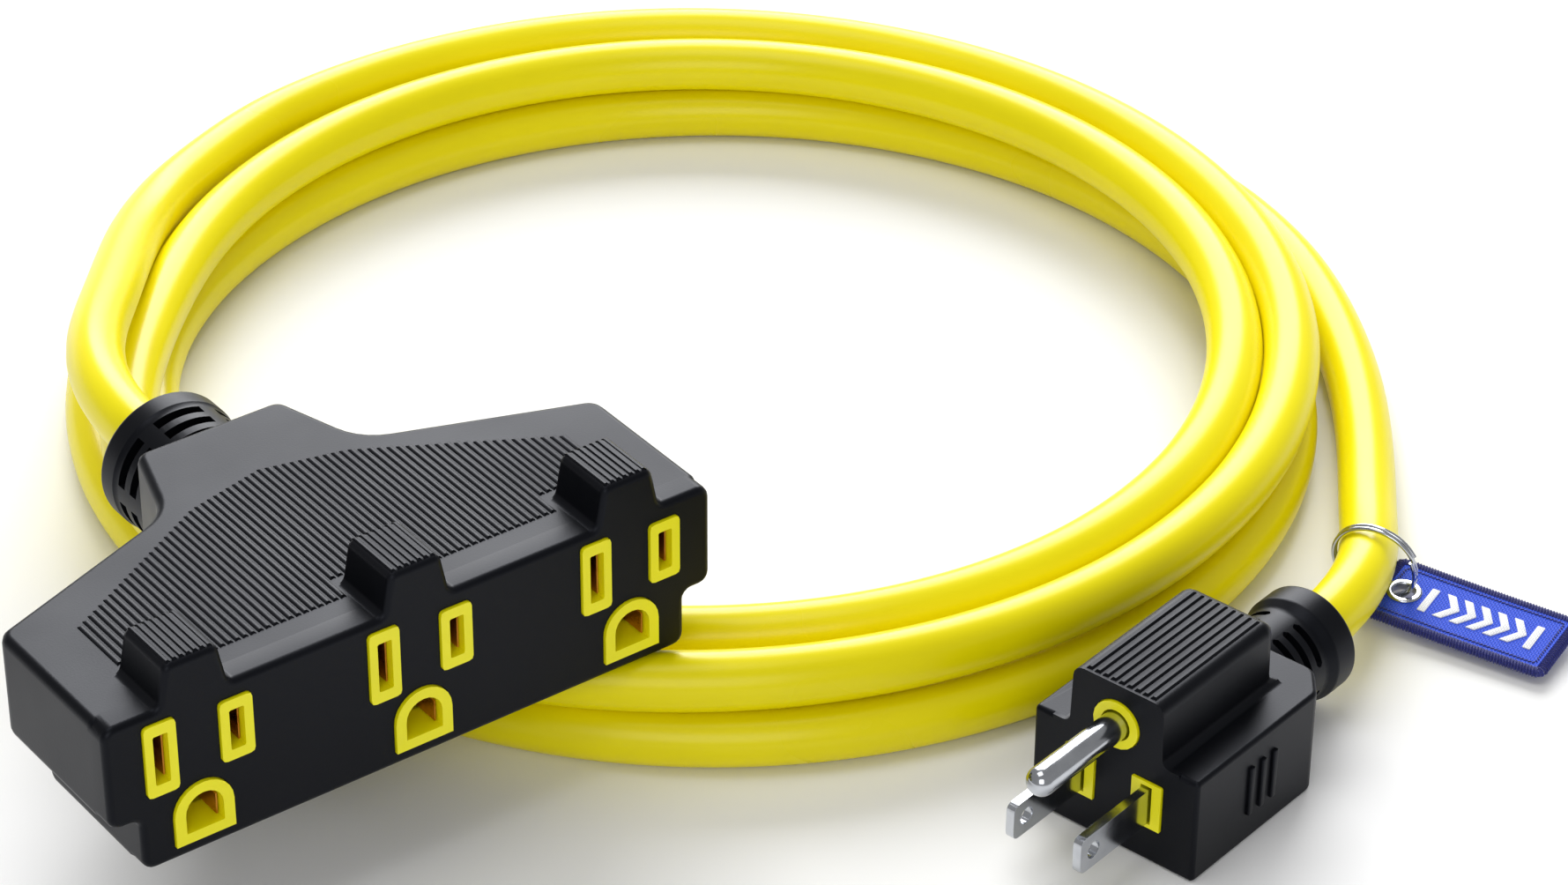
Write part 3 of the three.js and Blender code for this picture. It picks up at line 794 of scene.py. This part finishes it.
def plugRibs():
    ribs = []
    for i in range(9):
        x = (i - 4) * plug["ribPitch"]
        ribs.append(ribBar("rib", x, 0.5, plug["upperDepth"] - 2.2, plug["top"] - 0.1, 1.0, 0.45))
    return joinAll("ribs", ribs)


# three equal upright ribs on each side
gripShape = {
    "count": 3, "first": 14, "pitch": 3, "half": 0.6, "left": 0.7, "right": 0.6, "low": -5.5, "high": 3.5,
}


def gripBars():
    g = gripShape
    bars = []
    for side in (-1, 1):
        for i in range(g["count"]):
            y = g["first"] + i * g["pitch"]
            x = side * plug["lowerHalf"]
            outline = rectangle(x - g["left"], x + g["right"], y - g["half"], y + g["half"], 0.3)
            bars.append(roundEdges(plate("grip", outline, g["low"], g["high"]), 0.25, 2))
    return joinAll("grips", bars)


def addPlug():
    body = plugLower()
    combine(body, plugUpper(), "UNION")
    combine(body, plugRoom(), "DIFFERENCE")
    combine(body, cordBore(4.9, bridge["back"] - 1, plug["lowerDepth"] + 2, 0), "DIFFERENCE")
    combine(body, plugWindows(), "DIFFERENCE")
    smooth(body)
    details = [smooth(plugRibs(), weighted=False), smooth(gripBars(), weighted=False)]
    body = joinAll("plug_body", [body, *details])
    place(body, plugPlace)
    wear(body, mouldedBlack, "cord_set")
    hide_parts("plug_overmould")
    return body


plugBody = addPlug()


def addPlugRelief():
    r = plugRelief
    outline = roundedOutline([
        (r["bore"], r["start"], 0), (r["waist"] + 0.2, r["start"], 0), (r["waist"], r["flare"], 2),
        (r["radius"], r["flare"] + 1.8, 1.2), (r["radius"], r["end"], r["rim"]),
        (r["bore"], r["end"], r["rim"]),
    ])
    sleeve = reliefSleeve("plug_relief", r, outline, 0, True)
    place(sleeve, plugPlace)
    wear(sleeve, mouldedBlack, "cord_set")
    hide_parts("plug_strain_relief")
    return sleeve


pinShape = {"radius": 2.4, "length": 21, "back": 13.2}


def addGroundPin():
    radius = pinShape["radius"]
    length = pinShape["length"]
    outline = [(0, pinShape["back"]), (radius, pinShape["back"])]
    for i in range(13):
        angle = math.pi / 2 * i / 12
        outline.append((radius * math.cos(angle), -length + radius - radius * math.sin(angle)))
    pin = smooth(lathe("ground_pin_round", outline, z=plug["groundZ"], steps=48), weighted=False)
    place(pin, plugPlace)
    wear(pin, pinNickel, "cord_set")
    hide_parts("ground_pin")
    return pin


plugReliefPiece = addPlugRelief()
groundPin = addGroundPin()
pinBridge = softCopy("plug_pin_bridge", "pin_bridge", 0.15)
wear(pinBridge, insertYellow, "cord_set")
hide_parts("plug_pin_bridge")
for bladeNode in ("neutral_blade", "hot_blade"):
    bladePiece = softCopy(bladeNode, bladeNode + "_edged", 0.28, 3)
    wear(bladePiece, pinNickel, "cord_set")
    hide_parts(bladeNode)
print("plug made")


# Split ring and tag

joints = {joint["name"]: joint for joint in frame["joints"]}
eyeletPoint = Vector(joints["tag_swing"]["pos_m"])

splitRing = {"mid": 7.3, "wire": 0.37, "turns": 2, "steps": 40, "startAngle": 70}
tag = {
    "length": 33, "width": 16.5, "eyeletIn": 4.5, "border": 1.6, "thick": 0.9, "curl": 0.5,
    "yaw": -68.3, "pitch": 2.2, "bank": 3, "hole": 1.9, "thread": 0.42,
    "wrapSpacing": 0.52, "stitchSpacing": 0.66, "stitchInset": 2.35,
}
tagPlace = Matrix.Translation(eyeletPoint)
for angle, axis in ((tag["yaw"], "Z"), (tag["pitch"], "Y"), (tag["bank"], "X")):
    tagPlace = tagPlace @ Matrix.Rotation(math.radians(angle), 4, axis)


def addSplitRing():
    # one wire, twice round, each turn lying against the next
    r = splitRing
    pivot = Vector(joints["ring_turn"]["pos_m"])
    outwards = (eyeletPoint - pivot).normalized()
    sideways = Vector(joints["tag_swing"]["axis"]).normalized()
    axis = outwards.cross(sideways)
    centre = eyeletPoint - outwards * r["mid"] * mm
    curve = bpy.data.curves.new("split_ring_wire", "CURVE")
    curve.dimensions = "3D"
    spline = curve.splines.new("NURBS")
    count = r["turns"] * r["steps"]
    spline.points.add(count)
    for i, point in enumerate(spline.points):
        angle = math.radians(r["startAngle"]) + 2 * math.pi * i / r["steps"]
        rise = (2 * i / count - 1) * r["wire"] * r["turns"]
        flat = outwards * math.cos(angle) + sideways * math.sin(angle)
        point.co = (*(centre + (flat * r["mid"] + axis * rise) * mm), 1)
    spline.order_u = 4
    spline.use_endpoint_u = True
    spline.resolution_u = 3
    curve.bevel_depth = r["wire"] * mm
    curve.bevel_resolution = 4
    curve.use_fill_caps = True
    wire = bpy.data.objects.new("split_ring_wire", curve)
    bpy.context.scene.collection.objects.link(wire)
    pick(wire)
    bpy.ops.object.convert(target="MESH")
    wire = smooth(bpy.context.object, weighted=False)
    wear(wire, pinNickel, "ring")
    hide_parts("split_ring")
    return wire


def tagLift(x):
    # the far end curls up a little
    return tag["curl"] * max(x, 0) ** 2 / (tag["length"] - tag["eyeletIn"]) ** 2


def tagOutline(inset, radius):
    half = tag["width"] / 2 - inset
    return rectangle(-tag["eyeletIn"] + inset, tag["length"] - tag["eyeletIn"] - inset, -half, half, radius)


def curlUp(obj):
    for vertex in obj.data.vertices:
        vertex.co.z += tagLift(vertex.co.x / mm) * mm
    return obj


def threadMap(obj):
    # the piece's own UV map is its plan in millimetres, so a weave runs along the tag
    layer = obj.data.uv_layers.new(name="threads")
    for loop in obj.data.loops:
        place2d = obj.data.vertices[loop.vertex_index].co / mm
        layer.data[loop.index].uv = (place2d.x, place2d.y)
    return obj


def crossCut(obj, x0, x1, count):
    # straight cuts across the piece, so that it can curl
    pick(obj)
    bpy.ops.object.mode_set(mode="EDIT")
    for i in range(1, count):
        bpy.ops.mesh.select_all(action="SELECT")
        x = (x0 + (x1 - x0) * i / count) * mm
        bpy.ops.mesh.bisect(plane_co=(x, 0, 0), plane_no=(1, 0, 0))
    bpy.ops.object.mode_set(mode="OBJECT")
    return obj


def eyeletHole(radius):
    deselectAll()
    bpy.ops.mesh.primitive_cylinder_add(vertices=40, radius=radius * mm, depth=6 * mm, location=(0, 0, 0))
    return bpy.context.object


def addTagFabric():
    t = tag
    fabric = plate("tag_weave", tagOutline(0.4, 0.8), -t["thick"] / 2, t["thick"] / 2)
    combine(fabric, eyeletHole(t["hole"] + 0.45), "DIFFERENCE")
    crossCut(fabric, -t["eyeletIn"], t["length"] - t["eyeletIn"], 16)
    curlUp(fabric)
    threadMap(fabric)
    smooth(fabric, weighted=False)
    place(fabric, tagPlace)
    wear(fabric, wovenBlue, "tag")
    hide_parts("tag_fabric")
    return fabric


def walkOutline(points, spacing):
    # evenly spaced places along a closed outline, each with its direction
    loop = [Vector(p) for p in points] + [Vector(points[0])]
    lengths = [(b - a).length for a, b in zip(loop, loop[1:])]
    count = round(sum(lengths) / spacing)
    stations = []
    travelled = 0
    index = 0
    for i in range(count):
        target = sum(lengths) * i / count
        while travelled + lengths[index] < target:
            travelled += lengths[index]
            index += 1
        direction = (loop[index + 1] - loop[index]).normalized()
        stations.append((loop[index] + direction * (target - travelled), direction))
    return stations


def copyAlong(model, name, stations, slant, z):
    copies = []
    for i, (spot, direction) in enumerate(stations):
        copy = ownCopy(model, name)
        turn = math.atan2(direction.y, direction.x) + math.radians(slant)
        where = Vector((spot.x, spot.y, z + tagLift(spot.x))) * mm
        copy.data.transform(Matrix.Translation(where) @ Matrix.Rotation(turn, 4, "Z"))
        copies.append(copy)
    bpy.data.objects.remove(model)
    return joinAll(name, copies)


def addTagBorder():
    # overlock stitching: a padded edge under close turns of thread
    t = tag
    core = plate("tag_edge_core", tagOutline(0.25, 1), -0.6, 0.6)
    combine(core, plate("inside", tagOutline(t["border"], 0.6), -2, 2), "DIFFERENCE")
    roundEdges(core, 0.4, 3)
    crossCut(core, -t["eyeletIn"], t["length"] - t["eyeletIn"], 16)
    curlUp(core)
    threadMap(core)
    deselectAll()
    bpy.ops.mesh.primitive_torus_add(
        major_segments=14, minor_segments=5, major_radius=0.62 * mm, minor_radius=0.24 * mm,
        rotation=(0, math.radians(90), 0))
    turnOfThread = bpy.context.object
    bpy.ops.object.transform_apply(location=True, rotation=True, scale=True)
    turnOfThread.data.transform(Matrix.Diagonal((1, 1.25, 1.0, 1)))
    threads = copyAlong(turnOfThread, "wraps", walkOutline(tagOutline(0.85, 0.9), t["wrapSpacing"]), 14, 0)
    threadMap(threads)
    border = joinAll("tag_overlock", [core, threads])
    smooth(border, 50, weighted=False)
    place(border, tagPlace)
    wear(border, stitchedNavy, "tag")
    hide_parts("tag_border")
    return border


def addTagStitches():
    # the line of slanted stitches inside the border
    t = tag
    deselectAll()
    bpy.ops.mesh.primitive_uv_sphere_add(segments=6, ring_count=4, radius=0.42 * mm)
    stitch = bpy.context.object
    stitch.data.transform(Matrix.Diagonal((1, 0.42, 0.3, 1)))
    top = t["thick"] / 2
    line = walkOutline(tagOutline(t["stitchInset"], 0.6), t["stitchSpacing"])
    stitches = copyAlong(stitch, "tag_stitches", line, 38, top + 0.03)
    threadMap(stitches)
    smooth(stitches, 60, weighted=False)
    place(stitches, tagPlace)
    wear(stitches, stitchedNavy, "tag")
    return stitches


patternShape = {
    "arm": 3.2, "stroke": 1.6, "reach": 2.0, "first": 6.5, "pitch": 3.0, "count": 5,
    "bars": ((3.8, 5.2), (22.6, 24.0)),
}


def addTagPattern():
    # plain chevrons between two bars, in raised white thread
    p = patternShape
    top = tag["thick"] / 2
    arm = p["arm"]
    shapes = [rectangle(left, right, -arm, arm, 0.2) for left, right in p["bars"]]
    for i in range(p["count"]):
        x = p["first"] + i * p["pitch"]
        right = x + p["stroke"]
        shapes.append([
            (x, -arm), (right, -arm), (right + p["reach"], 0), (right, arm), (x, arm), (x + p["reach"], 0),
        ])
    motifs = []
    for shape in shapes:
        motif = plate("motif", shape, top - 0.15, top + 0.2)
        motifs.append(roundEdges(motif, 0.14, 2))
    pattern = joinAll("tag_pattern", motifs)
    crossCut(pattern, -tag["eyeletIn"], tag["length"] - tag["eyeletIn"], 16)
    curlUp(pattern)
    threadMap(pattern)
    smooth(pattern, weighted=False)
    place(pattern, tagPlace)
    wear(pattern, wovenWhite, "tag")
    return pattern


def addEyelet():
    # a pressed eyelet: a short tube with a rolled rim on each side
    inner = tag["hole"]
    reach = 0.78
    outline = roundedOutline([
        (inner, -reach, 0.3), (inner + 1.15, -reach, 0.3), (inner + 1.15, -reach + 0.3, 0.1),
        (inner + 0.4, -reach + 0.34, 0.05), (inner + 0.4, reach - 0.34, 0.05),
        (inner + 1.15, reach - 0.3, 0.1), (inner + 1.15, reach, 0.3), (inner, reach, 0.3),
    ], 3)
    eyelet = lathe("tag_eyelet_rolled", outline, steps=48)
    eyelet.data.transform(Matrix.Rotation(math.radians(90), 4, "X"))
    smooth(eyelet, weighted=False)
    place(eyelet, tagPlace)
    wear(eyelet, pinNickel, "tag")
    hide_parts("tag_eyelet")
    return eyelet


# damask-woven polyester: a tight matt field, its 0.2 mm threads drawn at 0.42 mm so that they show
wovenBlue = wovenPolyester("woven blue polyester", "#0f33b4", "#2058ee", tag["thread"], 0.10, 0.1)
# twisted polyester sewing thread, dark and slightly shiny
stitchedNavy = wovenPolyester("navy overlock thread", "#10155a", "#1e2682", 0.3, 0.06, 0.3)
# satin-woven white thread that floats over the field
wovenWhite = wovenPolyester("white satin thread", "#d9dce4", "#ffffff", 0.36, 0.06, 0.2)

addSplitRing()
tagFabric = addTagFabric()
tagPieces = [addTagBorder(), addTagStitches(), addTagPattern(), addEyelet()]
print("ring and tag made")


# Materials for the CAD nodes that stay in sight inside the pieces

keptNodes = {
    "tap_socket_back": insertYellow, "neutral_strip": contactBrass, "hot_strip": contactBrass,
    "ground_strip": contactBrass,
}
for number in (1, 2, 3):
    for kind in ("neutral", "hot", "ground"):
        keptNodes[f"{kind}_contact_{number}"] = contactBrass
for end in ("tap", "plug"):
    for core, material in insulation.items():
        keptNodes[f"{end}_core_{core}"] = material
for node, material in keptNodes.items():
    materialSlots = frame["nodes"][node].data.materials
    materialSlots.clear()
    materialSlots.append(material)


# Floor and light

floor = {"half": 6, "shade": "#f6f6f6"}
lights = [
    {"name": "far sky", "at": (0.96, 1.26, 1.05), "size": 1.4, "power": 50},
    {"name": "overhead", "at": (-0.3, 0.1, 2.0), "size": 1.1, "power": 9},
    {"name": "near fill", "at": (-1.0, -1.3, 0.9), "size": 1.0, "power": 8},
]


def addFloor():
    deselectAll()
    bpy.ops.mesh.primitive_plane_add(size=2 * floor["half"])
    surface = bpy.context.object
    surface.name = "floor"
    surface.location.z = cadBounds[0][2]
    bpy.ops.object.transform_apply(location=True)
    material, shader = newMaterial("matt white card", Roughness=0.9, Specular_IOR_Level=0.1)
    mottle(material, shader, "#f4f4f4", floor["shade"], 300, 2, 0.01, (0.88, 0.95))
    surface.data.materials.append(material)


# strength of the even light from all round
studioLight = 0.36


def addLights():
    target = Vector((0, 0, 0.02))
    for light in lights:
        deselectAll()
        bpy.ops.object.light_add(type="AREA", location=light["at"])
        lamp = bpy.context.object
        lamp.name = light["name"]
        lamp.rotation_euler = (target - lamp.location).to_track_quat("-Z", "Y").to_euler()
        lamp.data.size = light["size"]
        lamp.data.energy = light["power"]
    world = bpy.data.worlds.new("studio")
    world.use_nodes = True
    world.node_tree.nodes["Background"].inputs["Color"].default_value = (1, 1, 1, 1)
    world.node_tree.nodes["Background"].inputs["Strength"].default_value = studioLight
    bpy.context.scene.world = world


addFloor()
addLights()
bpy.context.scene.view_settings.view_transform = "Standard"
print("floor and lights set")

bpy.context.view_layer.update()
